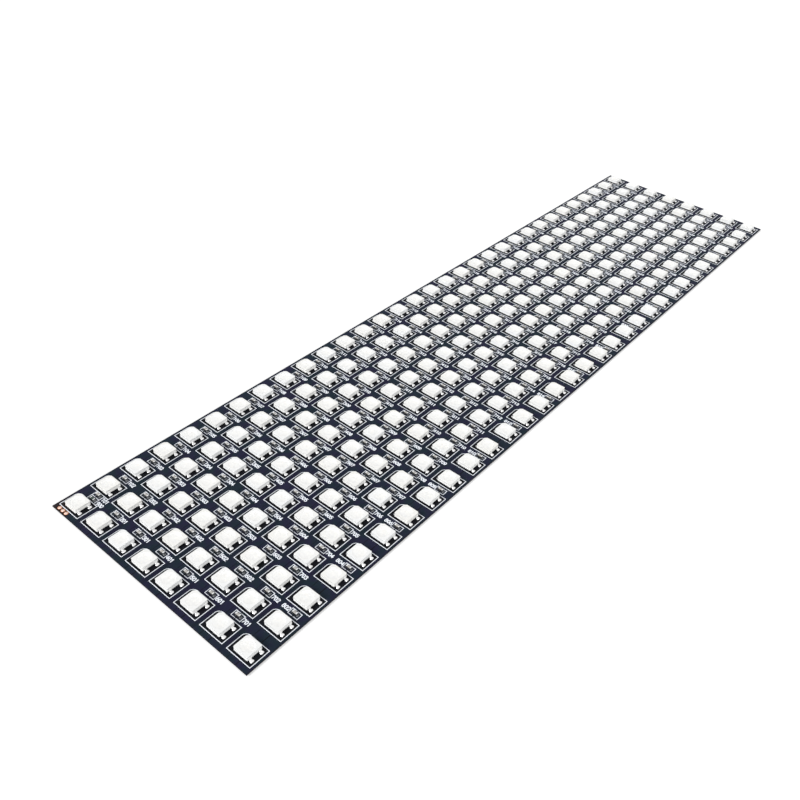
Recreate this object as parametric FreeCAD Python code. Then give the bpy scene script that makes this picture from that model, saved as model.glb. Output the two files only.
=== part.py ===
import FreeCAD, Part
import math
import os

# Flexible LED matrix panel: 8 rows by 32 columns of square surface-mounted LEDs on a thin
# flexible circuit board, with a chip capacitor beside each LED.
# Frame: origin at the centre of the board's rear face, X along the board, Y across it, Z out of
# the LED side. Millimetres.

# LED grid
led_columns = 32
led_rows = 8
led_pitch = 10.0
edge_margin = 5.0  # from the outer LED centres to the board's edges

# Flexible board: a core between two thin cover films, which are open over the bare pads
board_thickness = 0.3
cover_film = 0.05
pad_copper = 0.035

# LED package: a square moulded housing, a little smaller at its top, one corner cut
led_foot_side = 5.0
led_top_side = 4.9
led_height = 1.57
led_corner_cut = 0.8

# White printed outline round each LED: a low ridge of ink with one corner cut
outline_length_x = 6.55
outline_length_y = 8.5
outline_line_width = 0.2
outline_ink_height = 0.03
outline_corner_cut = 0.8

# Chip capacitors, lying across the board half-way between two LEDs of a row
capacitor_length = 1.6
capacitor_width = 0.8
capacitor_height = 0.8
chip_offset_y = -0.85  # chip centres, from their row of LEDs

# The data line's resistor shares the first gap with that gap's capacitor
resistor_length = 1.6
resistor_width = 0.8
resistor_height = 0.5
first_pair_spacing = 1.85

# Round pads in the corner of the LED side, in one window of the cover film
edge_pad_count = 3
edge_pad_diameter = 1.3
edge_pad_sides = 12
edge_pad_pitch = 1.55
edge_pad_from_end = 1.0  # pad centres to the board's end
edge_pad_from_side = 2.1  # first pad's centre to the board's long edge
edge_window_margin = 0.2

# Rectangular solder pads on the rear: signal and supply at both ends, supply in the middle
solder_pad_length = 3.0
solder_pad_width = 2.0
solder_pad_pitch = 4.0
signal_pad_count = 3
power_pad_count = 2
solder_pad_from_end = 6.0  # pad centres to the board's end

board_length = (led_columns - 1) * led_pitch + 2 * edge_margin
board_width = (led_rows - 1) * led_pitch + 2 * edge_margin
front_face = board_thickness  # height of the board's LED side


def write_node(name, solids):
    """Write one named piece, or a group of like pieces, to its own file."""
    shape = solids[0] if len(solids) == 1 else Part.makeCompound(solids)
    shape.exportStep(os.path.join("parts", name + ".step"))
    print(name, "solids", len(shape.Solids), "valid", shape.isValid())


def led_x(column):
    """Centre of an LED column, counted from 0 at the -X end."""
    return (column - (led_columns - 1) / 2) * led_pitch


def led_y(row):
    """Centre of an LED row, counted from 0 at the +Y edge."""
    return ((led_rows - 1) / 2 - row) * led_pitch


def cut_corner_wire(length_x, length_y, corner_cut, z):
    """Closed rectangle about the Z axis, with its +X +Y corner cut off."""
    half_x = length_x / 2
    half_y = length_y / 2
    corners = [
        FreeCAD.Vector(-half_x, -half_y, z),
        FreeCAD.Vector(half_x, -half_y, z),
        FreeCAD.Vector(half_x, half_y - corner_cut, z),
        FreeCAD.Vector(half_x - corner_cut, half_y, z),
        FreeCAD.Vector(-half_x, half_y, z),
    ]
    return Part.makePolygon(corners + corners[:1])


def centred_box(length_x, length_y, height, x, y, z):
    """Block that stands on height z with its foot centred on x, y."""
    corner = FreeCAD.Vector(x - length_x / 2, y - length_y / 2, z)
    return Part.makeBox(length_x, length_y, height, corner)


def led_housing():
    """Moulded housing with draft on its sides, standing on the board at the Z axis."""
    foot = cut_corner_wire(led_foot_side, led_foot_side, led_corner_cut, front_face)
    top = cut_corner_wire(led_top_side, led_top_side, led_corner_cut, front_face + led_height)
    return Part.makeLoft([foot, top], True, True)


def outline_ridge():
    """Ink line round an LED: a low ridge, sloping to the board on both sides of its crest."""
    half_line = outline_line_width / 2
    crest_length_x = outline_length_x - outline_line_width
    crest_length_y = outline_length_y - outline_line_width
    middle = cut_corner_wire(crest_length_x, crest_length_y, outline_corner_cut, front_face)
    crest = middle.translated(FreeCAD.Vector(0, 0, outline_ink_height))
    outer_foot = middle.makeOffset2D(half_line, 2)
    inner_foot = middle.makeOffset2D(-half_line, 2)
    mound = Part.makeLoft([outer_foot, crest], True, True)
    hollow = Part.makeLoft([inner_foot, crest], True, True)
    return mound.cut(hollow)


def gap_x(column):
    """Middle of the gap between an LED column and the next."""
    return led_x(column) + led_pitch / 2


def chip_y(row):
    """Height across the board at which a row's chips lie."""
    return led_y(row) + chip_offset_y


def capacitor_places(row):
    """Foot centres of one row's capacitors, one in each gap.

    The last row has them in every second gap only, and the first gap of all shares its room.
    """
    last_row = row == led_rows - 1
    places = []
    for column in range(led_columns - 1):
        if last_row and column % 2 == 0:
            continue
        shares_gap = row == 0 and column == 0
        shift = first_pair_spacing / 2 if shares_gap else 0
        places.append((gap_x(column) + shift, chip_y(row)))
    return places


def edge_pad_places():
    """Centres of the round pads, in a line along the -X end from its +Y corner."""
    x = -board_length / 2 + edge_pad_from_end
    top = board_width / 2 - edge_pad_from_side
    return [(x, top - index * edge_pad_pitch) for index in range(edge_pad_count)]


def solder_pad_places(count, x):
    """Centres of one group of rear pads, in a line across the board."""
    middle = (count - 1) / 2
    return [(x, (index - middle) * solder_pad_pitch) for index in range(count)]


def few_sided_disc(diameter, sides, height, x, y, z):
    """Small round disc as a prism, standing on height z with its first corner towards +X."""
    centre = FreeCAD.Vector(x, y, z)
    corners = []
    for index in range(sides):
        angle = 2 * math.pi * index / sides
        spoke = FreeCAD.Vector(math.cos(angle), math.sin(angle), 0)
        corners.append(centre + spoke * (diameter / 2))
    outline = Part.makePolygon(corners + corners[:1])
    return Part.Face(outline).extrude(FreeCAD.Vector(0, 0, height))


solder_pad_end_x = board_length / 2 - solder_pad_from_end
rear_groups = {
    "input_solder_pads": solder_pad_places(signal_pad_count, -solder_pad_end_x),
    "power_solder_pads": solder_pad_places(power_pad_count, 0.0),
    "output_solder_pads": solder_pad_places(signal_pad_count, solder_pad_end_x),
}


def edge_window():
    """Opening in the front cover film round the line of round pads."""
    places = edge_pad_places()
    across = edge_pad_diameter + 2 * edge_window_margin
    along = places[0][1] - places[-1][1] + across
    middle_y = (places[0][1] + places[-1][1]) / 2
    return centred_box(across, along, cover_film, places[0][0], middle_y, front_face - cover_film)


def flex_board():
    """Thin board, its cover films open over the bare pads on both sides."""
    board = centred_box(board_length, board_width, board_thickness, 0, 0, 0)
    openings = [edge_window()]
    for places in rear_groups.values():
        for x, y in places:
            openings.append(centred_box(solder_pad_length, solder_pad_width, cover_film, x, y, 0))
    return board.cut(Part.makeCompound(openings))


def edge_pads():
    """Round copper pads on the floor of their window."""
    floor = front_face - cover_film
    return [
        few_sided_disc(edge_pad_diameter, edge_pad_sides, pad_copper, x, y, floor)
        for x, y in edge_pad_places()
    ]


def solder_pads(places):
    """Rectangular copper pads, each on the floor of its opening in the rear cover film."""
    foot = cover_film - pad_copper
    return [
        centred_box(solder_pad_length, solder_pad_width, pad_copper, x, y, foot)
        for x, y in places
    ]


os.makedirs("parts", exist_ok=True)

write_node("flex_board", [flex_board()])

housing = led_housing()
for column in range(led_columns):
    copies = []
    for row in range(led_rows):
        copies.append(housing.translated(FreeCAD.Vector(led_x(column), led_y(row), 0)))
    write_node("led_column_%02d" % (column + 1), copies)

ridge = outline_ridge()
outlines = []
for column in range(led_columns):
    for row in range(led_rows):
        outlines.append(ridge.translated(FreeCAD.Vector(led_x(column), led_y(row), 0)))
write_node("printed_outlines", outlines)

for row in range(led_rows):
    chips = []
    for x, y in capacitor_places(row):
        chips.append(
            centred_box(capacitor_width, capacitor_length, capacitor_height, x, y, front_face)
        )
    write_node("capacitor_row_%d" % (row + 1), chips)

data_resistor = centred_box(
    resistor_width,
    resistor_length,
    resistor_height,
    gap_x(0) - first_pair_spacing / 2,
    chip_y(0),
    front_face,
)
write_node("data_resistor", [data_resistor])

write_node("edge_pads", edge_pads())
for name, places in rear_groups.items():
    write_node(name, solder_pads(places))
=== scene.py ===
# %% [markdown]
# # A flexible LED matrix panel
# The real object is a dark, paper-thin circuit board with 8 rows of 32 small LED packages. A CAD
# model already says where everything is, so it is loaded first and treated as a fixed frame. The
# pieces made below stand in for its plain solids and carry the detail that the eye looks for:
# bent leads, solder, resin windows, chips, print and the copper under the film. Working in the
# CAD model's own frame means that nothing has to be fitted afterwards.

# %% Load the CAD frame
import math
import bpy
import numpy as np
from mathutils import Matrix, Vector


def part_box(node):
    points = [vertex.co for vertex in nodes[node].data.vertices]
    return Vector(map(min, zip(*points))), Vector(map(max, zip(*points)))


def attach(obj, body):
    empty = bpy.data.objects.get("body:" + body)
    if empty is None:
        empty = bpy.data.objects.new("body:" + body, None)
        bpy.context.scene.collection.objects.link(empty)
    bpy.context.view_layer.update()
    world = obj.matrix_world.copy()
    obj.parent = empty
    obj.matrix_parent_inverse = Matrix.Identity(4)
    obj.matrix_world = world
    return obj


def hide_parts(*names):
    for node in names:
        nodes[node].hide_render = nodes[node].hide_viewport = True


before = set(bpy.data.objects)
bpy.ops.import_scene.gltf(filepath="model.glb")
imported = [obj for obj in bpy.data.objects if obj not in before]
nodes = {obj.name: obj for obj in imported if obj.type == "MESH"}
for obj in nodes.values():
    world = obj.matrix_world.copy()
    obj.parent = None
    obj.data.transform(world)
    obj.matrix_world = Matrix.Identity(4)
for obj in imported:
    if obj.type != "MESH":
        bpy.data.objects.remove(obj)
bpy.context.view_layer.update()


# %% [markdown]
# ## Camera
# The photograph was taken from low over the near end, looking along the panel. The camera's place
# and lens were worked out from where the 256 LEDs lie in it. A lens value and three angles are
# all that such a view needs. Blender's default camera hides what is nearer than 10 cm, so that
# distance is made shorter for an object of this size.

# %% Camera
CAMERA_PLACE = (-0.23110, -0.13307, 0.17833)
CAMERA_ANGLES = (50.947, -3.414, -49.999)  # degrees about X, Y and Z

lens_data = bpy.data.cameras.new("camera")
lens_data.lens = 38.18
lens_data.sensor_width = 36
lens_data.clip_start = 0.01
camera = bpy.data.objects.new("camera", lens_data)
bpy.context.scene.collection.objects.link(camera)
camera.location = CAMERA_PLACE
camera.rotation_euler = [math.radians(angle) for angle in CAMERA_ANGLES]
bpy.context.scene.camera = camera
bpy.context.scene.view_settings.view_transform = "Standard"
print("camera at", CAMERA_PLACE, "lens", round(lens_data.lens, 2))

# %% [markdown]
# ## Shader arithmetic
# A material in Blender is a graph of nodes. Written out link by link, even a simple pattern takes
# pages. The two small classes here let a pattern be written as ordinary arithmetic: a Field is a
# value that changes over a surface, and adding, multiplying or comparing Fields adds Math nodes.
# A Finish is a material being made. Its one method for nodes sets a node up and joins its sockets.

# %% Classes for materials
class Field:
    """A value that changes over a surface: one output socket of a finish's nodes."""

    def __init__(self, finish, socket):
        self.finish = finish
        self.socket = socket

    def math(self, operation, *values):
        return self.finish.node("ShaderNodeMath", {"operation": operation}, dict(enumerate(values)))

    def __add__(self, other):
        return self.math("ADD", self, other)

    def __sub__(self, other):
        return self.math("SUBTRACT", self, other)

    def __rsub__(self, other):
        return self.math("SUBTRACT", other, self)

    def __mul__(self, other):
        return self.math("MULTIPLY", self, other)

    def __mod__(self, other):
        return self.math("FLOORED_MODULO", self, other)

    def __or__(self, other):
        return self.math("MAXIMUM", self, other)

    def __gt__(self, other):
        return self.math("GREATER_THAN", self, other)

    def __lt__(self, other):
        return self.math("LESS_THAN", self, other)

    def __abs__(self):
        return self.math("ABSOLUTE", self)

    __radd__ = __add__
    __rmul__ = __mul__

    def ramp(self, low, high, start=0.0, end=1.0):
        """Goes smoothly from start to end while this value goes from low to high."""
        sockets = {0: self, 1: low, 2: high, 3: start, 4: end}
        return self.finish.node("ShaderNodeMapRange", {"interpolation_type": "SMOOTHSTEP"}, sockets)


class Finish:
    """A material or world being made. Its patterns are laid out in millimetres on the panel."""

    def __init__(self, name, library=bpy.data.materials):
        self.material = library.new(name)
        self.material.use_nodes = True
        self.tree = self.material.node_tree
        self.tree.nodes.clear()

    def node(self, kind, settings=None, sockets=None, output=0):
        """Adds a node, sets it up, fills or links its sockets and returns one output as a Field."""
        node = self.tree.nodes.new(kind)
        for setting, value in (settings or {}).items():
            setattr(node, setting, value)
        for key, value in (sockets or {}).items():
            if isinstance(value, Field):
                self.tree.links.new(value.socket, node.inputs[key])
            else:
                node.inputs[key].default_value = value
        return Field(self, node.outputs[output]) if len(node.outputs) else None

    def outputs(self, kind, names, sockets=None):
        """Adds a node and returns several of its outputs."""
        first = self.node(kind, sockets=sockets, output=names[0])
        return [Field(self, first.socket.node.outputs[name]) for name in names]

    def place(self):
        """Where a point of the surface is, as a vector in millimetres."""
        sockets = {0: self.node("ShaderNodeTexCoord", output="Object"), "Scale": 1000.0}
        return self.node("ShaderNodeVectorMath", {"operation": "SCALE"}, sockets)

    def axes(self, vector):
        """The three numbers of a vector, each as a Field."""
        return self.outputs("ShaderNodeSeparateXYZ", ("X", "Y", "Z"), {0: vector})

    def noise(self, per_mm, detail=2.0, offset=(0, 0, 0)):
        """Soft cloudy noise about 0.5, with per_mm blobs to a millimetre."""
        shift = {0: self.place(), 1: offset}
        moved = self.node("ShaderNodeVectorMath", {"operation": "ADD"}, shift)
        sockets = {"Vector": moved, "Scale": per_mm, "Detail": detail}
        return self.node("ShaderNodeTexNoise", {}, sockets)

    def blend(self, share, first, second):
        """Colour that goes from the first to the second as share goes from 0 to 1."""
        sockets = {0: share, 6: first, 7: second}
        return self.node("ShaderNodeMix", {"data_type": "RGBA"}, sockets, output=2)

    def bump(self, height, depth_mm):
        """Surface relief: height 1 stands depth_mm over height 0."""
        sockets = {"Strength": 1.0, "Distance": depth_mm / 1000, "Height": height}
        return self.node("ShaderNodeBump", {}, sockets)

    def surface(self, sockets):
        """Ends the material in a Principled shader with these sockets, and returns the material."""
        shader = self.node("ShaderNodeBsdfPrincipled", {}, sockets)
        self.node("ShaderNodeOutputMaterial", {}, {"Surface": shader})
        print("finish", self.material.name, "nodes", len(self.tree.nodes))
        return self.material


def rgb(red, green, blue):
    """A colour as Blender wants it, with an alpha of 1."""
    return (red, green, blue, 1.0)


# %% [markdown]
# ## Floor and light
# The photograph is a product shot on white: bright, soft light with the main lamp high at the far
# left. One wide sun lamp from there, a second from the front and an even white world do the same.
# Together they give a white surface facing up a strength of about 1, so colours come out as
# written. The floor and the world shine a little more for the camera and for mirrors only.
# That makes the background pure white and leaves the light on the panel alone. The floor lies a
# hair below the panel, whose edge then throws the soft shadow that shows how thin it is.

# %% Light
FILL_LIGHT = 0.48  # from all round, as a share of the light on a surface that faces up
KEY_SHARE = 0.37
FRONT_SHARE = 0.17
LAMP_SPREAD = 25  # degrees across, which makes the shadows soft
FLOOR_GLOW = 0.30
FLOOR_HALF = 3  # metres from its middle to its sides
FLOOR_GAP = 0.0004  # metres below the panel


def seen_by_camera(finish):
    """1 for rays from the camera, also by way of a mirror or through glass, and 0 for the light."""
    rays = ("Is Camera Ray", "Is Glossy Ray", "Is Transmission Ray")
    straight, mirrored, through = finish.outputs("ShaderNodeLightPath", rays)
    return straight | mirrored | through


def floor_material():
    """White floor, seen a little brighter than it is lit, and seen through from below."""
    finish = Finish("studio_floor")
    matte = finish.node("ShaderNodeBsdfDiffuse", {}, {"Color": rgb(0.8, 0.8, 0.8)})
    glow = finish.node("ShaderNodeEmission", {}, {"Strength": seen_by_camera(finish) * FLOOR_GLOW})
    lit = finish.node("ShaderNodeAddShader", {}, {0: matte, 1: glow})
    clear = finish.node("ShaderNodeBsdfTransparent")
    below = finish.node("ShaderNodeNewGeometry", output="Backfacing")
    shown = finish.node("ShaderNodeMixShader", {}, {0: below, 1: lit, 2: clear})
    finish.node("ShaderNodeOutputMaterial", {}, {"Surface": shown})
    return finish.material


def white_world():
    """Even white surroundings: strength 1 where they are seen, less where they only give light."""
    finish = Finish("studio_world", bpy.data.worlds)
    strength = seen_by_camera(finish) * (1 - FILL_LIGHT) + FILL_LIGHT
    sockets = {"Color": rgb(1, 1, 1), "Strength": strength}
    background = finish.node("ShaderNodeBackground", {}, sockets)
    finish.node("ShaderNodeOutputWorld", {}, {"Surface": background})
    return finish.material


def wide_lamp(name, towards, share):
    """Sun lamp that gives a white surface facing up this share of its full strength."""
    flat = math.hypot(towards[0], towards[1])
    data = bpy.data.lights.new(name, "SUN")
    data.energy = math.pi * share * math.hypot(flat, towards[2]) / towards[2]
    data.angle = math.radians(LAMP_SPREAD)
    lamp = bpy.data.objects.new(name, data)
    bpy.context.scene.collection.objects.link(lamp)
    lamp.rotation_euler = (0, math.atan2(flat, towards[2]), math.atan2(towards[1], towards[0]))
    print(name, "energy", round(data.energy, 2))


wide_lamp("key_light", (-1.0, 0.35, 0.8), KEY_SHARE)
wide_lamp("front_light", (-0.35, -1.0, 0.65), FRONT_SHARE)
bpy.context.scene.world = white_world()

floor_mesh = bpy.data.meshes.new("studio_floor")
floor_sides = ((-1, -1), (1, -1), (1, 1), (-1, 1))
floor_corners = [(x * FLOOR_HALF, y * FLOOR_HALF, 0) for x, y in floor_sides]
floor_mesh.from_pydata(floor_corners, [], [(0, 1, 2, 3)])
floor_mesh.materials.append(floor_material())
floor = bpy.data.objects.new("studio_floor", floor_mesh)
floor.location.z = -FLOOR_GAP
bpy.context.scene.collection.objects.link(floor)
print("world fill", FILL_LIGHT)

# %% [markdown]
# ## Sizes shared by the pieces
# The panel repeats one cell of 10 by 10 mm, so all detail is designed once, in millimetres about
# the centre of one cell, and then copied. The grid itself is measured from the CAD nodes, so
# that the copies sit where the solids are.

# %% The grid
MM = 0.001
ROWS = 8
COLUMNS = 32
board_low, board_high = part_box("flex_board")
FRONT = board_high.z / MM
PITCH = (board_high.x - board_low.x) / MM / COLUMNS
column_x = [(column - (COLUMNS - 1) / 2) * PITCH for column in range(COLUMNS)]
row_y = [((ROWS - 1) / 2 - row) * PITCH for row in range(ROWS)]
_, column_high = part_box("led_column_01")
TOP = column_high.z / MM
print("pitch", round(PITCH, 3), "board face at", round(FRONT, 3), "LED tops at", round(TOP, 3))

# %% [markdown]
# ## Shapes and stamping
# A Shape holds points in millimetres and the faces between them, each face with the number of
# its material. Most pieces here are stacks of rings: closed loops with the same number of points,
# joined by four-sided faces. Copying whole arrays of points is far quicker than adding hundreds
# of objects, and it leaves a few tidy meshes instead of thousands.

# %% Shapes
class Shape:
    """Points in millimetres and faces between them, ready to be stamped at many places."""

    def __init__(self):
        self.points = []
        self.faces = []
        self.skins = []

    def add(self, points, faces, skin=0):
        """Adds a patch of faces. Its corner numbers start at 0."""
        start = len(self.points)
        self.points.extend(tuple(point) for point in points)
        self.faces.extend(tuple(start + corner for corner in face) for face in faces)
        self.skins.extend([skin] * len(faces))
        return self

    def join(self, other, move=(0, 0, 0), turn=0.0, skin=None):
        """Adds another shape, turned about Z by whole degrees and then moved."""
        c, s = math.cos(math.radians(turn)), math.sin(math.radians(turn))
        start = len(self.points)
        self.points.extend(
            (x * c - y * s + move[0], x * s + y * c + move[1], z + move[2])
            for x, y, z in other.points
        )
        self.faces.extend(tuple(start + corner for corner in face) for face in other.faces)
        self.skins.extend(other.skins if skin is None else [skin] * len(other.faces))
        return self


def ring_faces(rings, points_each, closed=True):
    """Four-sided faces between rings that lie one after another."""
    faces = []
    last = points_each if closed else points_each - 1
    for ring in range(rings - 1):
        for k in range(last):
            a = ring * points_each + k
            b = ring * points_each + (k + 1) % points_each
            faces.append((a, b, b + points_each, a + points_each))
    return faces


def stacked(rings, cap_first=True, cap_last=True):
    """A shape from rings that run anticlockwise seen from the last one's side."""
    count = len(rings[0])
    faces = ring_faces(len(rings), count)
    if cap_first:
        faces.append(tuple(reversed(range(count))))
    if cap_last:
        start = (len(rings) - 1) * count
        faces.append(tuple(range(start, start + count)))
    return Shape().add([point for ring in rings for point in ring], faces)


def block_ring(half_x, half_y, radius, z, steps):
    """Rectangle with rounded corners. Each corner has a point at every one of the steps."""
    ring = []
    for side_x, side_y, start in ((1, -1, -90), (1, 1, 0), (-1, 1, 90), (-1, -1, 180)):
        for step in steps:
            angle = math.radians(start + step)
            px = side_x * (half_x - radius) + radius * math.cos(angle)
            py = side_y * (half_y - radius) + radius * math.sin(angle)
            ring.append((px, py, z))
    return ring


def round_ring(radius, z, like):
    """A circle with its points at the same bearings as those of another ring."""
    bearings = [math.atan2(py, px) for px, py, _ in like]
    return [(radius * math.cos(a), radius * math.sin(a), z) for a in bearings]


def round_stack(levels, sides, cap_first=True):
    """A stack of circles, given as (radius, height) pairs."""
    angles = [2 * math.pi * k / sides for k in range(sides)]
    even = [(math.cos(a), math.sin(a), 0) for a in angles]
    return stacked([round_ring(radius, z, even) for radius, z in levels], cap_first)


def stamp(name, stamps, finishes, replaced=(), sharp_degrees=38):
    """One object that holds a shape at each of its places. Stamps are (shape, places) pairs."""
    points, faces, skins = [], [], []
    start = 0
    for shape, places in stamps:
        template = np.array(shape.points)
        for place in places:
            points.append(template + np.array(place))
            faces.extend(tuple(start + corner for corner in face) for face in shape.faces)
            skins.extend(shape.skins)
            start += len(template)
    mesh = bpy.data.meshes.new(name)
    mesh.from_pydata(np.concatenate(points) * MM, [], faces)
    for finish in finishes:
        mesh.materials.append(finish)
    mesh.polygons.foreach_set("material_index", skins)
    mesh.polygons.foreach_set("use_smooth", [True] * len(faces))
    mesh.set_sharp_from_angle(angle=math.radians(sharp_degrees))
    piece = bpy.data.objects.new(name, mesh)
    bpy.context.scene.collection.objects.link(piece)
    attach(piece, "root")
    if replaced:
        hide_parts(*replaced)
    print(name, "faces", len(faces), "triangles", sum(len(face) - 2 for face in faces))
    return piece


# %% [markdown]
# ## The film of the board
# The board is copper foil between two dark films. Where copper lies underneath, the film stands
# up by a few hundredths of a millimetre and looks bluer, and where there is none it looks almost
# black. Inside each printed outline and a little beyond it, the film is painted almost black as
# painted shade round the package. All of that repeats with the pitch, so the position of a point
# inside its own cell is enough to draw it. The CAD board keeps its shape and only gets this
# material, which also draws the cut edge in a dark brown of painted shade, and on the rear the
# conductors, the holes through which copper passes and the print.

# %% The film
OVER_COPPER = rgb(0.0190, 0.0185, 0.0445), rgb(0.0135, 0.0250, 0.0350)  # in patches
# painted shade: this near black is the bare film between conductors, and it is also painted inside
# and round each LED outline as shade
NO_COPPER_AND_SHADE = rgb(0.0068, 0.0068, 0.0085), rgb(0.0062, 0.0072, 0.0080)
DUSTY = rgb(0.025, 0.027, 0.043)
BROWNISH = rgb(0.034, 0.025, 0.025)  # in the corner with the round pads
REAR_WHITE = rgb(0.80, 0.82, 0.84)
# painted shade: the cut edge is painted very dark brown, as the shade along the board's edge
SHADED_CUT_EDGE = rgb(0.022, 0.014, 0.010)
SIGNAL_PADS_X = 154  # from the middle of the board
VIA_X, VIA_Y = 1.2, 3.1  # where copper passes through the board, from the middle of a cell


def line_at(field, middle, half_width):
    """1 on a line, 0 beside it, with a soft edge."""
    return abs(field - middle).ramp(half_width * 0.6, half_width * 1.4, 1.0, 0.0)


def block_at(u, v, half_u, half_v, soft=0.07):
    """1 inside a rectangle about u = v = 0, 0 outside it, with a soft edge."""
    across = abs(u).ramp(half_u - soft, half_u + soft, 1.0, 0.0)
    return across * abs(v).ramp(half_v - soft, half_v + soft, 1.0, 0.0)


def band_at(u, v, half_u, half_v, width):
    """1 in a band along the inside of a rectangle's sides, 0 elsewhere."""
    return block_at(u, v, half_u, half_v) * (1 - block_at(u, v, half_u - width, half_v - width))


def front_gaps_and_shade(u, v):
    """Where the LED side is painted near black: between the conductors, where there is no copper,
    and inside and just round each outline, as painted shade.
    """
    # painted shade: the block inside each outline is painted near black and reaches a little past
    # the ink
    inside = block_at(u, v, 3.45, 4.39) * (u + v).ramp(6.1, 6.4, 1.0, 0.0)
    between_rows = line_at(abs(v), 5.0, 0.10) | line_at(abs(v), 4.68, 0.06)
    beside_chips = (line_at(v, -0.95, 0.13) | line_at(v, 2.1, 0.07)) * (abs(u) > 3.3)
    return inside | between_rows * 0.5 | beside_chips


def rear_gaps(u, v, x, y):
    """Where the rear has no copper: between the supply conductors and round the signal pads."""
    supply = line_at(y % (2 * PITCH), PITCH, 0.16)
    signal = line_at(abs(v), VIA_Y, 0.06) * (abs(u) > VIA_X)
    pads = band_at(abs(x) - SIGNAL_PADS_X, y, 2.4, 6.6, 0.2)
    via_u, via_v = abs(u) - VIA_X, abs(v) - VIA_Y
    squared = via_u * via_u + via_v * via_v
    vias = squared.ramp(0.05, 0.09, 1.0, 0.0) * squared.ramp(0.005, 0.02)
    return supply | signal | pads | vias


def rear_print(x, y):
    """White boxes printed round the three groups of rear pads."""
    return band_at(abs(x) - SIGNAL_PADS_X, y, 2.1, 5.7, 0.24) | band_at(x, y, 2.1, 3.7, 0.24)


def film_finish():
    """Dark blue film over copper, black where there is no copper under it.

    Round each LED it is painted black as well, as painted shade.
    """
    finish = Finish("film")
    x, y, z = finish.axes(finish.place())
    u, v = x % PITCH - PITCH / 2, y % PITCH - PITCH / 2
    at_front = z > FRONT / 2
    at_rear = 1 - at_front
    gaps_and_shade = front_gaps_and_shade(u, v) * at_front | rear_gaps(u, v, x, y) * at_rear
    slow, quick = finish.noise(0.05, 1.0), finish.noise(0.32, 1.0, (7, 0, 0))
    tint = (slow * 0.45 + quick * 0.55).ramp(0.38, 0.62)
    cloud = finish.noise(0.6, 3.0, (40, 0, 0))
    # bare film and the painted shade round each outline share the near-black colour
    covered, bare_and_shaded = finish.blend(tint, *OVER_COPPER), finish.blend(tint, *NO_COPPER_AND_SHADE)
    colour = finish.blend(gaps_and_shade, covered, bare_and_shaded)
    colour = finish.blend(cloud.ramp(0.3, 0.7, 0.0, 0.22), colour, DUSTY)
    near_pads = (x - y).ramp(-200, -190, 0.85, 0.0) * at_front
    colour = finish.blend(near_pads, colour, BROWNISH)
    colour = finish.blend(rear_print(x, y) * at_rear, colour, REAR_WHITE)
    # painted shade on the cut edge, between the front and rear faces of the film
    between_films = abs(z - FRONT / 2) < FRONT / 2 - 0.01
    colour = finish.blend(between_films, colour, SHADED_CUT_EDGE)
    relief = finish.noise(9.0, 2.0) * 0.12 - gaps_and_shade * 0.6
    return finish.surface({
        "Base Color": colour,
        "Roughness": cloud.ramp(0.2, 0.8, 0.42, 0.56),
        "Specular IOR Level": 0.03,
        "Normal": finish.bump(relief, 0.03),
    })


film = film_finish()
board = nodes["flex_board"]
for slot in board.material_slots:
    slot.material = film
print("board slots", len(board.material_slots))

# %% [markdown]
# ## LED housings
# Each package is a white moulded frame, 5 mm square, with one corner cut to show which way round
# it goes. Its walls are all but upright. A shallow step runs round them at half height, where the
# two halves of the mould met, and the leads come out just under it. Close to the board the walls
# draw in, and there they are painted dark brown-grey as painted shade under the step. A round cup
# in the top holds the dies. A ring is one closed path round the package. Twelve rings, from the
# underside over the walls and rim and down into the cup, make it all.

# %% Housing moulding
WINDOW_RADIUS = 1.95
CUP_FLOOR = TOP - 0.6
CUP_FLOOR_RADIUS = 1.62
CORNER_CUT = 0.85
CUT_STEPS = ((0, 1.0), (0.10, 0.78), (0.42, 0.42), (0.78, 0.10), (1.0, 0))
NEAR_RADIUS = 0.28  # of the two corners on the -Y side
FAR_RADIUS = 0.34  # of the -X +Y corner
PACKAGE_WALLS = [  # half length along X, half length along Y, height
    (2.16, 2.02, FRONT + 0.04),
    (2.22, 2.10, FRONT + 0.09),
    (2.40, 2.34, FRONT + 0.22),
    (2.50, 2.50, FRONT + 0.29),
    (2.50, 2.50, FRONT + 0.34),
    (2.49, 2.49, FRONT + 0.74),
    (2.42, 2.42, FRONT + 0.84),
    (2.49, 2.49, TOP - 0.05),
    (2.47, 2.47, TOP),
]


def package_ring(half_x, half_y, z):
    """Closed path round a package at one height, anticlockwise, with the +X +Y corner cut."""
    near, far, cut = NEAR_RADIUS, FAR_RADIUS, CORNER_CUT
    path = []

    def arc(centre_x, centre_y, radius, start):
        for step in range(5):
            a = math.radians(start + step * 22.5)
            path.append((centre_x + radius * math.cos(a), centre_y + radius * math.sin(a)))

    def straight(start, end, count):
        for k in range(1, count + 1):
            share = k / (count + 1)
            path.append(tuple(a + (b - a) * share for a, b in zip(start, end)))

    arc(half_x - near, near - half_y, near, -90)
    straight((half_x, near - half_y), (half_x, half_y - cut), 4)
    path.extend((half_x - cut * back, half_y - cut * down) for back, down in CUT_STEPS)
    straight((half_x - cut, half_y), (far - half_x, half_y), 4)
    arc(far - half_x, half_y - far, far, 90)
    straight((-half_x, half_y - far), (-half_x, near - half_y), 5)
    arc(near - half_x, near - half_y, near, 180)
    straight((near - half_x, -half_y), (half_x - near, -half_y), 5)
    return [(px, py, z) for px, py in path]


def housing_shape():
    """Moulded package, from its underside to the floor of its cup."""
    rings = [package_ring(*wall) for wall in PACKAGE_WALLS]
    rim = rings[-1]
    rings.append(round_ring(WINDOW_RADIUS + 0.04, TOP, rim))
    rings.append(round_ring(WINDOW_RADIUS, TOP - 0.04, rim))
    rings.append(round_ring(CUP_FLOOR_RADIUS, CUP_FLOOR, rim))
    return stacked(rings)


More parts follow.
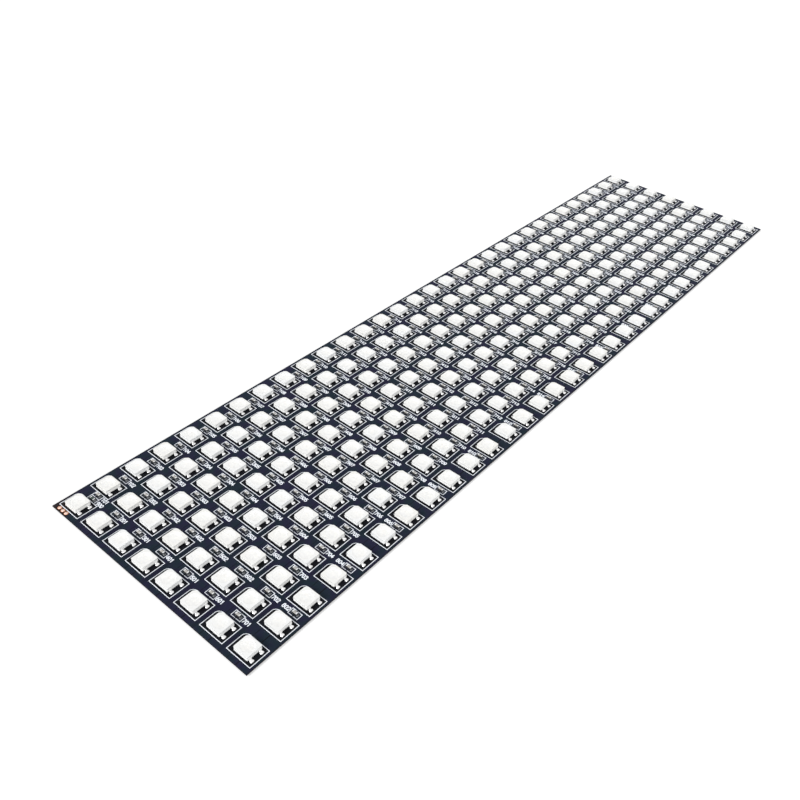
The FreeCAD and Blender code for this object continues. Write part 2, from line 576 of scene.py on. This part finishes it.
def housing_finish():
    """White moulded plastic: nearly matt, a trace of texture, each package its own white.

    Its foot, where the walls draw in, is painted dark as painted shade.
    """
    finish = Finish("white_moulding")
    height = finish.axes(finish.place())[2]
    cell_corner = {0: finish.place(), 1: (PITCH, PITCH, 9.0)}
    cell = finish.node("ShaderNodeVectorMath", {"operation": "SNAP"}, cell_corner)
    three_d = {"noise_dimensions": "3D"}
    each = finish.node("ShaderNodeTexWhiteNoise", three_d, {"Vector": cell})
    mottle = finish.noise(1.3, 3.0)
    warm = (mottle * 0.5 + each * 0.5).ramp(0.2, 0.8)
    colour = finish.blend(warm, rgb(0.905, 0.915, 0.915), rgb(0.905, 0.900, 0.870))
    # painted shade: below about 0.2 mm over the board the walls are painted dark brown-grey
    low = height.ramp(FRONT + 0.16, FRONT + 0.32, 1.0, 0.0)
    colour = finish.blend(low, colour, rgb(0.30, 0.29, 0.25))
    return finish.surface({
        "Base Color": colour,
        "Roughness": mottle.ramp(0.3, 0.7, 0.42, 0.55),
        "Specular IOR Level": 0.4,
        "Normal": finish.bump(finish.noise(7.0, 3.0), 0.012),
    })


GROUP_COLUMNS = 4
groups = [range(first, first + GROUP_COLUMNS) for first in range(0, COLUMNS, GROUP_COLUMNS)]
group_places = [[(column_x[c], y, 0) for c in group for y in row_y] for group in groups]
housing = housing_shape()
white_moulding = housing_finish()
for number, (group, places) in enumerate(zip(groups, group_places), 1):
    name = "led_housings_%d" % number
    replaced = ["led_column_%02d" % (c + 1) for c in group]
    stamp(name, [(housing, places)], [white_moulding], replaced)

# %% [markdown]
# ## Leads and solder
# Four tinned strips come out of each package at its step, bend down its side and fold under it.
# Solder has crept up them and run out over the pads in bright, rounded heaps. The package sits a
# little back on its pads, so the heaps on the -Y side are longer. A strip is a small rectangle
# swept along a bent path. A heap is a row of rounded cross-sections, each with its own width and
# height, so it swells behind the lead and closes to a round nose. Where solder is steep, its colour
# is painted dark, as painted shade and a painted reflection of the dark board.

# %% Leads
LEAD_X = 1.61  # from the middle of the package
LEAD_WIDTH = 0.84
LEAD_THICKNESS = 0.14
LEAD_PATH = [  # (y, height) from the wall to under the package
    (2.36, 0.64), (2.52, 0.64), (2.60, 0.62), (2.65, 0.56), (2.665, 0.48),
    (2.665, 0.20), (2.62, 0.10), (2.53, 0.075), (2.0, 0.075),
]
LONG_HEAP = [  # (y, half width, height) of each section
    (2.42, 0.43, 0.00), (2.56, 0.47, 0.25), (2.72, 0.49, 0.39), (2.86, 0.54, 0.365),
    (3.02, 0.615, 0.345), (3.20, 0.655, 0.32), (3.36, 0.62, 0.275), (3.49, 0.52, 0.205),
    (3.575, 0.36, 0.12), (3.62, 0.14, 0.0),
]
SHORT_HEAP = [
    (2.42, 0.40, 0.00), (2.56, 0.44, 0.23), (2.70, 0.45, 0.35), (2.80, 0.46, 0.30),
    (2.90, 0.46, 0.25), (3.00, 0.44, 0.20), (3.09, 0.38, 0.15), (3.16, 0.28, 0.09),
    (3.20, 0.12, 0.0),
]


def bent_strip(path, width, thickness):
    """Flat strip along a path of (y, z) points, its width along X."""
    path = np.array(path, float)
    steps = np.diff(path, axis=0)
    steps /= np.linalg.norm(steps, axis=1)[:, None]
    along = np.vstack([steps[:1], steps[:-1] + steps[1:], steps[-1:]])
    along /= np.linalg.norm(along, axis=1)[:, None]
    half = width / 2
    rings = []
    for (py, pz), (dy, dz) in zip(path, along):
        ny, nz = -dz * thickness / 2, dy * thickness / 2
        rings.append([
            (-half, py - ny, pz - nz), (half, py - ny, pz - nz),
            (half, py + ny, pz + nz), (-half, py + ny, pz + nz),
        ])
    return stacked(rings)


def solder_heap(sections, columns=8):
    """Heap of solder on the board. Each section across it is (y, half width, height)."""
    roundness = 2.15  # 2 would be half an ellipse, and more is fuller
    points = []
    for py, half_width, height in sections:
        for j in range(columns + 1):
            t = math.sin((-1 + 2 * j / columns) * math.pi / 2)
            points.append((half_width * t, py, height * math.sqrt(1 - abs(t) ** roundness)))
    return Shape().add(points, ring_faces(len(sections), columns + 1, closed=False))


def leads_shape():
    """The four leads of one package with their solder: skin 0 is lead, skin 1 is solder."""
    lead = bent_strip(LEAD_PATH, LEAD_WIDTH, LEAD_THICKNESS)
    both_sides = Shape()
    for sections, turn in ((SHORT_HEAP, 0), (LONG_HEAP, 180)):
        heap = solder_heap(sections)
        pair = Shape()
        for side in (-1, 1):
            pair.join(lead, (side * LEAD_X, 0, FRONT))
            pair.join(heap, (side * LEAD_X, 0, FRONT), skin=1)
        both_sides.join(pair, turn=turn)
    return both_sides


def level_share(finish):
    """1 where the surface lies level, 0 where it is steep."""
    normal = finish.node("ShaderNodeNewGeometry", output="Normal")
    return abs(finish.axes(normal)[2]).ramp(0.40, 0.90)


def uneven(finish):
    """The slight waves of metal that has been molten."""
    return finish.bump(finish.noise(2.4, 1.0, (9, 9, 9)), 0.02)


def soldered_finish(name, level, steep):
    """Solder or soldered tin: bright where it lies level.

    Where it is steep it is painted dark, as painted shade and a painted reflection of the board.
    """
    finish = Finish(name)
    share = level_share(finish)
    bloom = finish.noise(2.8, 2.0)
    dimmer = [0.82 * value for value in level]
    bright = finish.blend(bloom.ramp(0.35, 0.75), rgb(*level), rgb(*dimmer))
    return finish.surface({
        # painted shade: steep faces get the dark steep colour in place of the metal's own
        "Base Color": finish.blend(share, rgb(*steep), bright),
        "Metallic": 1.0,
        "Roughness": bloom * 0.3 + 0.16 - share * 0.08,
        "Normal": uneven(finish),
    })


def tin_finish(name, colour, dull, rough):
    """Tinned or soldered metal: bright, with a dull bloom in patches and fine unevenness."""
    finish = Finish(name)
    bloom = finish.noise(1.8, 3.0)
    return finish.surface({
        "Base Color": finish.blend(bloom.ramp(0.35, 0.75), rgb(*colour), rgb(*dull)),
        "Metallic": 1.0,
        "Roughness": bloom.ramp(0.25, 0.75, rough, rough + 0.16),
        "Normal": uneven(finish),
    })


leads = leads_shape()
lead_tin = tin_finish("lead_tin", (0.88, 0.88, 0.87), (0.74, 0.74, 0.74), 0.24)
# the second colour is painted shade for steep solder
solder = soldered_finish("solder", (0.98, 0.98, 0.98), (0.20, 0.20, 0.21))
for number, places in enumerate(group_places, 1):
    name = "led_leads_%d" % number
    stamp(name, [(leads, places)], [lead_tin, solder], sharp_degrees=60)

# %% [markdown]
# ## Dies in the cup
# Through the window one sees four silvered plates, three colour dies, a small dark driver die and
# the gold wires between them. They are tiny, but they are what makes an LED look like an LED from
# close by. Plates are cut from a circle, dies are low blocks with bevelled edges, and a wire is a
# thin tube that follows half an arch.

# %% Dies and wires
PLATE_RADIUS = 1.56
PLATE_GAP = 0.09  # from a plate's straight sides to the middle of the gap between two plates
PLATE_THICKNESS = 0.02
WIRE_RISE = 0.16
WIRE_RADIUS = 0.014
DIES = [  # place, size and skin
    ((-0.62, -0.55), (0.62, 0.48, 0.12), 1),
    ((0.62, 0.60), (0.26, 0.26, 0.13), 2),
    ((0.62, -0.55), (0.30, 0.24, 0.11), 3),
    ((-0.60, 0.62), (0.30, 0.24, 0.11), 4),
]
WIRES = [  # where each starts and ends
    ((-0.42, -0.42), (0.62, 0.60)), ((-0.38, -0.60), (0.62, -0.55)),
    ((-0.66, -0.38), (-0.60, 0.62)), ((-0.50, -0.72), (0.30, -1.10)),
    ((-0.84, -0.42), (-1.20, 0.35)),
]
THIRDS = (0, 2.094, 4.189)  # a third of a turn apart


def quarter_plate(radius, gap, thickness):
    """One of four plates in the cup's floor: a quarter circle with its straight sides set back."""
    first = math.asin(gap / radius)
    arc = [first + (math.pi / 2 - 2 * first) * k / 6 for k in range(7)]
    outline = [(gap, gap)] + [(radius * math.cos(a), radius * math.sin(a)) for a in arc]
    return stacked([[(px, py, z) for px, py in outline] for z in (0, thickness)], False)


def bevelled_block(length_x, length_y, height, bevel):
    """Block standing on z = 0, its upright and upper edges bevelled."""
    rings = []
    for inset, z in ((0, 0), (0, height - bevel), (bevel, height)):
        half_x, half_y = length_x / 2 - inset, length_y / 2 - inset
        rings.append(block_ring(half_x, half_y, bevel, z, (0, 90)))
    return stacked(rings)


def arched_wire(start, end, rise, radius, steps=5):
    """Thin three-sided wire from start to end in one arch."""
    start, end = np.array(start, float), np.array(end, float)
    side = np.cross(end - start, (0, 0, 1.0))
    side /= np.linalg.norm(side)
    up = np.array((0, 0, 1.0))
    rings = []
    for k in range(steps + 1):
        s = k / steps
        middle = start + (end - start) * s + up * rise * math.sin(math.pi * s ** 0.7)
        round_it = [side * radius * math.cos(a) + up * radius * math.sin(a) for a in THIRDS]
        rings.append([tuple(middle + offset) for offset in round_it])
    return stacked(rings)


def core_shape():
    """Plates (skin 0), driver (1), red, green and blue dies (2 to 4) and wires (5) in one cup."""
    core = Shape()
    plate = quarter_plate(PLATE_RADIUS, PLATE_GAP, PLATE_THICKNESS)
    for turn in (0, 90, 180, 270):
        core.join(plate, (0, 0, CUP_FLOOR), turn=turn)
    deck = CUP_FLOOR + PLATE_THICKNESS
    for place, size, skin in DIES:
        core.join(bevelled_block(*size, 0.02), (*place, deck), skin=skin)
    for first, last in WIRES:
        start, end = (*first, deck + 0.11), (*last, deck + 0.09)
        core.join(arched_wire(start, end, WIRE_RISE, WIRE_RADIUS), skin=5)
    return core


def die_finish(name, colour, shade):
    """Polished die: its colour with a darker etched pattern."""
    finish = Finish(name)
    etched = finish.noise(14.0, 2.0).ramp(0.45, 0.55)
    return finish.surface({
        "Base Color": finish.blend(etched, rgb(*colour), rgb(*shade)),
        "Roughness": etched.ramp(0.0, 1.0, 0.22, 0.35),
    })


core = core_shape()
core_finishes = [
    tin_finish("silver_plate", (0.88, 0.87, 0.83), (0.80, 0.78, 0.72), 0.24),
    die_finish("driver_die", (0.06, 0.07, 0.09), (0.16, 0.17, 0.20)),
    die_finish("red_die", (0.42, 0.20, 0.10), (0.55, 0.33, 0.12)),
    die_finish("green_die", (0.42, 0.55, 0.44), (0.62, 0.66, 0.48)),
    die_finish("blue_die", (0.44, 0.52, 0.66), (0.62, 0.62, 0.52)),
    tin_finish("gold_wire", (0.90, 0.66, 0.28), (0.82, 0.56, 0.22), 0.22),
]
for number, places in enumerate(group_places, 1):
    stamp("led_dies_%d" % number, [(core, places)], core_finishes)

# %% [markdown]
# ## Resin windows
# The cup is filled with milky resin that dips a little below the rim, as a liquid does when it
# sets. From the photograph's distance a window looks as white as its housing, and from close by
# the dies show faintly through it. A low bowl of rings gives the dip, and one even alpha value
# gives the milkiness, which exports well. Milk scatters the light that it lets in, so the resin
# casts no shadow, and the cup below it stays bright.

# %% Windows
WINDOW_LEVELS = [  # radius and height, from the rim to the middle
    (WINDOW_RADIUS + 0.032, TOP - 0.012), (1.85, TOP - 0.021),
    (1.55, TOP - 0.029), (0.8, TOP - 0.034),
]


def resin_finish():
    """Milky silicone, slightly warm, with faint clouding."""
    finish = Finish("milky_resin")
    cloud = finish.noise(0.9, 3.0)
    cool, warm = rgb(0.97, 0.975, 0.97), rgb(0.97, 0.968, 0.952)
    return finish.surface({
        "Base Color": finish.blend(cloud.ramp(0.3, 0.7), cool, warm),
        "Roughness": cloud.ramp(0.3, 0.7, 0.22, 0.34),
        "Alpha": 0.88,
        "Normal": finish.bump(cloud, 0.02),
    })


window = round_stack(WINDOW_LEVELS, 24, cap_first=False)
milky_resin = resin_finish()
for number, places in enumerate(group_places, 1):
    panes = stamp("led_windows_%d" % number, [(window, places)], [milky_resin])
    panes.visible_shadow = False

# %% [markdown]
# ## Chips
# Beside each LED stands a tiny ceramic capacitor, and in the first gap a resistor as well. Their
# ends are dipped in tin, so they stand a hair proud of the body, and solder climbs them. Both are
# one body block and two end blocks. The dipped ends get two bevels, which catch the light.

# %% Where the chips are
CHIP_Y = -0.85  # from the middle of their row
PAIR_SPACING = 1.85
LAST_ROW = ROWS - 1


def capacitor_spots():
    """Foot centre of each capacitor, with its row and column."""
    spots = []
    for r in range(ROWS):
        for c in range(COLUMNS - 1):
            if r == LAST_ROW and c % 2 == 0:
                continue
            shift = PAIR_SPACING / 2 if (r, c) == (0, 0) else 0
            spots.append((column_x[c] + PITCH / 2 + shift, row_y[r] + CHIP_Y, r, c))
    return spots


spots = capacitor_spots()
chip_places = [(x, y, FRONT) for x, y, _, _ in spots]
pair_place = (column_x[0] + PITCH / 2, row_y[0] + CHIP_Y, FRONT)
resistor_place = (pair_place[0] - PAIR_SPACING / 2, pair_place[1], FRONT)
print("capacitors", len(spots))

# %% Chip shapes
CAPACITOR = (0.8, 1.6, 0.8, 0.36)  # width, length, height and length of a dipped end
RESISTOR = (0.8, 1.6, 0.5, 0.3)


def dipped_end(length_x, length_y, height, bevel):
    """Tinned end: a block rounded on its edges by two bevels."""
    slight = bevel * 0.3
    rings = []
    for inset, z in ((0, 0.0), (0, height - bevel), (slight, height - slight), (bevel, height)):
        half_x, half_y = length_x / 2 - inset, length_y / 2 - inset
        rings.append(block_ring(half_x, half_y, bevel, z, (0, 45, 90)))
    return stacked(rings)


def chip_body(width, length, height, end):
    """The ceramic between the two dipped ends."""
    return bevelled_block(width - 0.05, length - end, height - 0.04, 0.04)


def chip_ends(width, length, height, end):
    """Both tinned ends of a chip (skin 0) with their solder (skin 1)."""
    side, tip = width / 2, length / 2
    cap = dipped_end(width, end, height, 0.07)
    heap = solder_heap([
        (tip - 0.34, side - 0.04, 0.0), (tip - 0.28, side + 0.06, 0.07),
        (tip - 0.05, side + 0.08, 0.16), (tip, side + 0.06, height * 0.62),
        (tip + 0.08, side + 0.08, height * 0.36), (tip + 0.20, side + 0.09, height * 0.17),
        (tip + 0.34, side + 0.03, 0.06), (tip + 0.42, side - 0.12, 0.0),
    ], 6)
    soldered_end = Shape().join(cap, (0, (length - end) / 2, 0)).join(heap, skin=1)
    return Shape().join(soldered_end).join(soldered_end, turn=180)


def ceramic_finish(name, colour, speck):
    """Fired ceramic: matt, with fine specks, and its steep sides painted near black as painted
    shade.
    """
    finish = Finish(name)
    fine = finish.noise(11.0, 3.0)
    unshaded = finish.blend(fine.ramp(0.42, 0.62), rgb(*colour), rgb(*speck))
    return finish.surface({
        # painted shade: steep sides get near black in place of the ceramic's colour
        "Base Color": finish.blend(level_share(finish), rgb(0.045, 0.045, 0.044), unshaded),
        "Roughness": fine.ramp(0.3, 0.7, 0.45, 0.62),
        "Normal": finish.bump(fine, 0.01),
    })


brown_ceramic = ceramic_finish("brown_ceramic", (0.40, 0.385, 0.36), (0.52, 0.51, 0.49))
dark_glaze = ceramic_finish("dark_glaze", (0.030, 0.055, 0.050), (0.055, 0.085, 0.075))
# end_tin and chip_solder: the second colour is painted shade for their steep faces
end_tin = soldered_finish("end_tin", (0.93, 0.94, 0.95), (0.15, 0.155, 0.16))
chip_solder = soldered_finish("chip_solder", (0.15, 0.155, 0.16), (0.07, 0.075, 0.08))
capacitor_nodes = ["capacitor_row_%d" % (r + 1) for r in range(ROWS)]
chip_kinds = [
    ("capacitor", "capacitor_bodies", CAPACITOR, chip_places, brown_ceramic, capacitor_nodes),
    ("resistor", "resistor_body", RESISTOR, [resistor_place], dark_glaze, ["data_resistor"]),
]
for slot, name, size, places, ceramic, replaced in chip_kinds:
    stamp(name, [(chip_body(*size), places)], [ceramic], replaced)
    stamp(slot + "_ends", [(chip_ends(*size), places)], [end_tin, chip_solder])

# %% [markdown]
# ## Print
# White ink marks where parts go: an outline with one cut corner round each LED, a pair of
# brackets round each chip and a short number beside it. Every mark is a line of ink, so one
# function draws them all: it walks along a polyline and lays a low strip with soft edges. The
# figures are drawn from a few strokes each, like those of an old plotter. They only count places.

# %% Ink lines
INK_HEIGHT = 0.026
LINE_WIDTH = 0.22
OUTLINE_CUT = 1.3
OUTLINE_CORNER = ((0, 1.1), (0.10, 0.72), (0.34, 0.34), (0.66, 0.10), (1, 0))
HALF_RIDGE = 0.1  # from the CAD ridge's outer side to its crest


def ink_line(path, width=LINE_WIDTH, lift=0.0):
    """Strip of ink along (x, y) points, flat on top and bevelled to the film.

    A path that ends where it starts becomes a closed loop, and any other gets round ends.
    """
    closed = path[0] == path[-1]
    path = np.array(path[:-1] if closed else path, float)
    count = len(path)
    profile = ((-0.5, 0.0), (-0.38, INK_HEIGHT + lift), (0.38, INK_HEIGHT + lift), (0.5, 0.0))

    def direction(a, b):
        return (path[b] - path[a]) / np.linalg.norm(path[b] - path[a])

    def section(middle, normal, share=1.0):
        return [(*(middle - normal * side * width * share), z) for side, z in profile]

    def nose(end, step):
        normal = np.array((-step[1], step[0]))
        turns = [math.radians(angle) for angle in (42, 78)]
        return [
            section(path[end] + step * width / 2 * math.sin(a), normal, math.cos(a))
            for a in turns
        ]

    sections = []
    for k in range(count):
        before = direction(k - 1, k) if closed or k > 0 else direction(k, k + 1)
        after = direction(k, (k + 1) % count) if closed or k < count - 1 else before
        normal = np.array((-before[1] - after[1], before[0] + after[0]))
        sections.append(section(path[k], normal * 2 / max(0.8, float(normal @ normal))))
    if closed:
        faces = ring_faces(count + 1, 4, closed=False)
        faces = [tuple(corner % (4 * count) for corner in face) for face in faces]
    else:
        first = [list(reversed(ring)) for ring in nose(0, -direction(0, 1))]
        sections = first[::-1] + sections + nose(-1, direction(count - 2, count - 1))
        faces = ring_faces(len(sections), 4, closed=False)
        start = 4 * len(sections) - 4
        faces += [(3, 2, 1, 0), (start, start + 1, start + 2, start + 3)]
    return Shape().add([point for ring in sections for point in ring], faces)


def outline_shape():
    """Outline round one LED, on the centre line of the CAD model's ridge."""
    _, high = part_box("printed_outlines")
    half_x = high.x / MM - column_x[-1] - HALF_RIDGE
    half_y = high.y / MM - row_y[0] - HALF_RIDGE
    cut = OUTLINE_CUT
    corner = [(half_x - cut * back, half_y - cut * down) for back, down in OUTLINE_CORNER]
    start = (-half_x, -half_y)
    return ink_line([start, (half_x, -half_y)] + corner + [(-half_x, half_y), start])


def ink_finish():
    """Screen-printed white ink: matt, a little uneven, with the film showing in pinholes."""
    finish = Finish("print_ink")
    grain = finish.noise(6.0, 3.0)
    thin = grain.ramp(0.60, 0.78, 0.0, 0.45)
    return finish.surface({
        "Base Color": finish.blend(thin, rgb(0.90, 0.94, 1.00), rgb(0.46, 0.49, 0.58)),
        "Roughness": 0.6,
        "Specular IOR Level": 0.3,
        "Normal": finish.bump(grain, 0.01),
    })


print_ink = ink_finish()
outline = outline_shape()
led_places = [(x, y, FRONT) for x in column_x for y in row_y]
stamp("led_outlines", [(outline, led_places)], [print_ink], ["printed_outlines"])

# %% Brackets
BRACKET_X = 0.95
BRACKET_Y = 1.65
BRACKET_GAP = 0.225  # from a chip's middle to the ends of its brackets
SHARED_HALF = 1.55


def bracket_pair():
    """Two brackets that face each other across the middle of a chip."""
    x, y, gap = BRACKET_X, BRACKET_Y, BRACKET_GAP
    ends = [(-x, gap), (-x, y), (x, y), (x, gap)]
    pair = Shape()
    for side in (1, -1):
        pair.join(ink_line([(px, py * side) for px, py in ends]))
    return pair


def shared_frame():
    """Frame of the two chips in the first gap, which the LEDs' outlines close at its sides."""
    lines = Shape()
    for side in (1, -1):
        across = [(-SHARED_HALF, side * BRACKET_Y), (SHARED_HALF, side * BRACKET_Y)]
        between_chips = [(0, side * (BRACKET_Y - 0.25)), (0, side * BRACKET_GAP)]
        lines.join(ink_line(across)).join(ink_line(between_chips))
    return lines


single_places = [place for place, spot in zip(chip_places, spots) if spot[2:] != (0, 0)]
bracket_stamps = [(bracket_pair(), single_places), (shared_frame(), [pair_place])]
stamp("chip_brackets", bracket_stamps, [print_ink])

# %% Figures
def bow(cx, cy, rx, ry, start, end, steps=11):
    """Points along part of an oval, from one angle in degrees to another."""
    angles = [math.radians(start + (end - start) * k / steps) for k in range(steps + 1)]
    return [(cx + rx * math.cos(a), cy + ry * math.sin(a)) for a in angles]


def oval(cx, cy, rx, ry):
    """A closed oval."""
    points = bow(cx, cy, rx, ry, 90, 450, 16)
    return points[:-1] + points[:1]


FIGURE_STROKES = {
    "0": [oval(0.30, 0.50, 0.27, 0.50)],
    "1": [[(0.12, 0.80), (0.33, 0.99)], [(0.34, 0.99), (0.34, 0.0)]],
    "2": [bow(0.30, 0.72, 0.27, 0.28, 165, -40) + [(0.05, 0.02)], [(0.03, 0.0), (0.58, 0.0)]],
    "3": [bow(0.27, 0.75, 0.26, 0.25, 150, -80), bow(0.27, 0.26, 0.30, 0.26, 80, -150)],
    "4": [[(0.43, 0.0), (0.43, 1.0)], [(0.42, 0.98), (0.02, 0.32)], [(0.02, 0.29), (0.62, 0.29)]],
    "5": [
        [(0.55, 1.0), (0.12, 1.0)], [(0.10, 0.98), (0.08, 0.58)],
        bow(0.27, 0.32, 0.30, 0.32, 130, -145),
    ],
    "6": [oval(0.30, 0.30, 0.27, 0.30), [(0.46, 1.0), (0.22, 0.80), (0.08, 0.56), (0.03, 0.32)]],
    "7": [[(0.02, 1.0), (0.56, 1.0)], [(0.57, 0.98), (0.22, 0.0)]],
    "8": [oval(0.30, 0.77, 0.23, 0.23), oval(0.30, 0.27, 0.28, 0.27)],
    "9": [oval(0.30, 0.70, 0.27, 0.30), [(0.57, 0.68), (0.52, 0.44), (0.38, 0.20), (0.14, 0.0)]],
}
FIGURE_HEIGHT = 1.12
FIGURE_STEP = 0.86
FIGURE_WIDTH = 0.30
NUMBER_Y = -3.98  # middle of a number, from the middle of its row
LAST_ROW_NUMBER_Y = 2.26
FIRST_NUMBER_Y = -4.10
RESISTOR_NUMBER_Y = -4.25


def figure_shape(figure):
    """One figure that reads towards -Y, its top towards +X. Each stroke lies a hair higher."""
    shape = Shape()
    for layer, stroke in enumerate(FIGURE_STROKES[figure]):
        points = [((py - 0.5) * FIGURE_HEIGHT, (0.3 - px) * FIGURE_HEIGHT) for px, py in stroke]
        shape.join(ink_line(points, FIGURE_WIDTH, lift=0.0012 * layer))
    return shape


def number_places():
    """Where each figure goes: three beside every chip, on its other side in the last row."""
    numbers = []
    for x, _, r, c in spots:
        offset = LAST_ROW_NUMBER_Y if r == LAST_ROW else NUMBER_Y
        if (r, c) == (0, 0):
            offset = FIRST_NUMBER_Y
        numbers.append(("%d%02d" % (r + 1, c + 1), x, row_y[r] + offset))
    numbers.append(("900", resistor_place[0], row_y[0] + RESISTOR_NUMBER_Y))
    places = {figure: [] for figure in FIGURE_STROKES}
    for number, x, middle in numbers:
        for index, figure in enumerate(number):
            places[figure].append((x, middle + (1 - index) * FIGURE_STEP, FRONT))
    return places


figure_stamps = [(figure_shape(figure), places) for figure, places in number_places().items()]
stamp("place_numbers", figure_stamps, [print_ink])

# %% [markdown]
# ## Bare pads
# Three round copper pads lie open in the near corner, and the rear has tinned pads for wires.
# The round ones are discs with a rounded rim and a low bead of solder in the middle. The rear
# ones are cushions of solder that stay inside the openings of the film, so that the panel still
# lies flat.

# %% Round pads
PAD_SIDES = 32
ROUND_PADS = 3
BEAD_LEVELS = [(0.40, 0.030), (0.37, 0.07), (0.28, 0.11), (0.14, 0.135)]  # radius and height


def pad_row(low, high, count, pad_width, z):
    """Places of pads in a line along Y, between the two corners of their CAD node, at height z."""
    x = (low.x + high.x) / MM / 2
    first = low.y / MM + pad_width / 2
    step = ((high.y - low.y) / MM - pad_width) / (count - 1)
    return [(x, first + step * k, z / MM) for k in range(count)]


def copper_finish():
    """Bare copper with a pink bloom and darker tarnish in patches."""
    finish = Finish("bare_copper")
    tarnish = finish.noise(2.2, 3.0)
    pink, brown = rgb(0.74, 0.38, 0.26), rgb(0.42, 0.18, 0.11)
    return finish.surface({
        "Base Color": finish.blend(tarnish.ramp(0.35, 0.7), pink, brown),
        "Metallic": 1.0,
        "Roughness": tarnish.ramp(0.3, 0.7, 0.28, 0.45),
        "Normal": finish.bump(tarnish, 0.02),
    })


round_low, round_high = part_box("edge_pads")
pad_radius = (round_high.x - round_low.x) / MM / 2
round_places = pad_row(round_low, round_high, ROUND_PADS, 2 * pad_radius, round_low.z)
disc = round_stack([(pad_radius, 0), (pad_radius, 0.024), (pad_radius - 0.03, 0.035)], PAD_SIDES)
round_pad = Shape().join(disc).join(round_stack(BEAD_LEVELS, PAD_SIDES), skin=1)
pink_bead = tin_finish("pink_bead", (0.95, 0.80, 0.72), (0.90, 0.66, 0.55), 0.25)
pad_finishes = [copper_finish(), pink_bead]
stamp("round_pads", [(round_pad, round_places)], pad_finishes, ["edge_pads"])

# %% Rear pads
REAR_GROUPS = {"input_solder_pads": 3, "power_solder_pads": 2, "output_solder_pads": 3}
REAR_PAD_WIDTH = 2.0
CUSHION_SIZE = (2.98, 1.98)
CUSHION_DEPTH = 0.046
CUSHION_LEVELS = [  # inset from the sides, share of the depth, corner radius
    (0.55, 1.0, 0.35), (0.25, 0.93, 0.35), (0.08, 0.72, 0.3), (0.02, 0.4, 0.25), (0.0, 0.0, 0.25),
]


def cushion_shape(length_x, length_y):
    """Pillow of solder that hangs down a little from z = 0, with rounded corners."""
    rings = []
    for inset, share, radius in CUSHION_LEVELS:
        half_x, half_y = length_x / 2 - inset, length_y / 2 - inset
        z = -CUSHION_DEPTH * share
        rings.append(block_ring(half_x, half_y, radius, z, (0, 30, 60, 90)))
    return stacked(rings)


rear_places = []
for name, count in REAR_GROUPS.items():
    low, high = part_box(name)
    rear_places.extend(pad_row(low, high, count, REAR_PAD_WIDTH, high.z))
cushion = cushion_shape(*CUSHION_SIZE)
stamp("rear_pads", [(cushion, rear_places)], [solder], list(REAR_GROUPS))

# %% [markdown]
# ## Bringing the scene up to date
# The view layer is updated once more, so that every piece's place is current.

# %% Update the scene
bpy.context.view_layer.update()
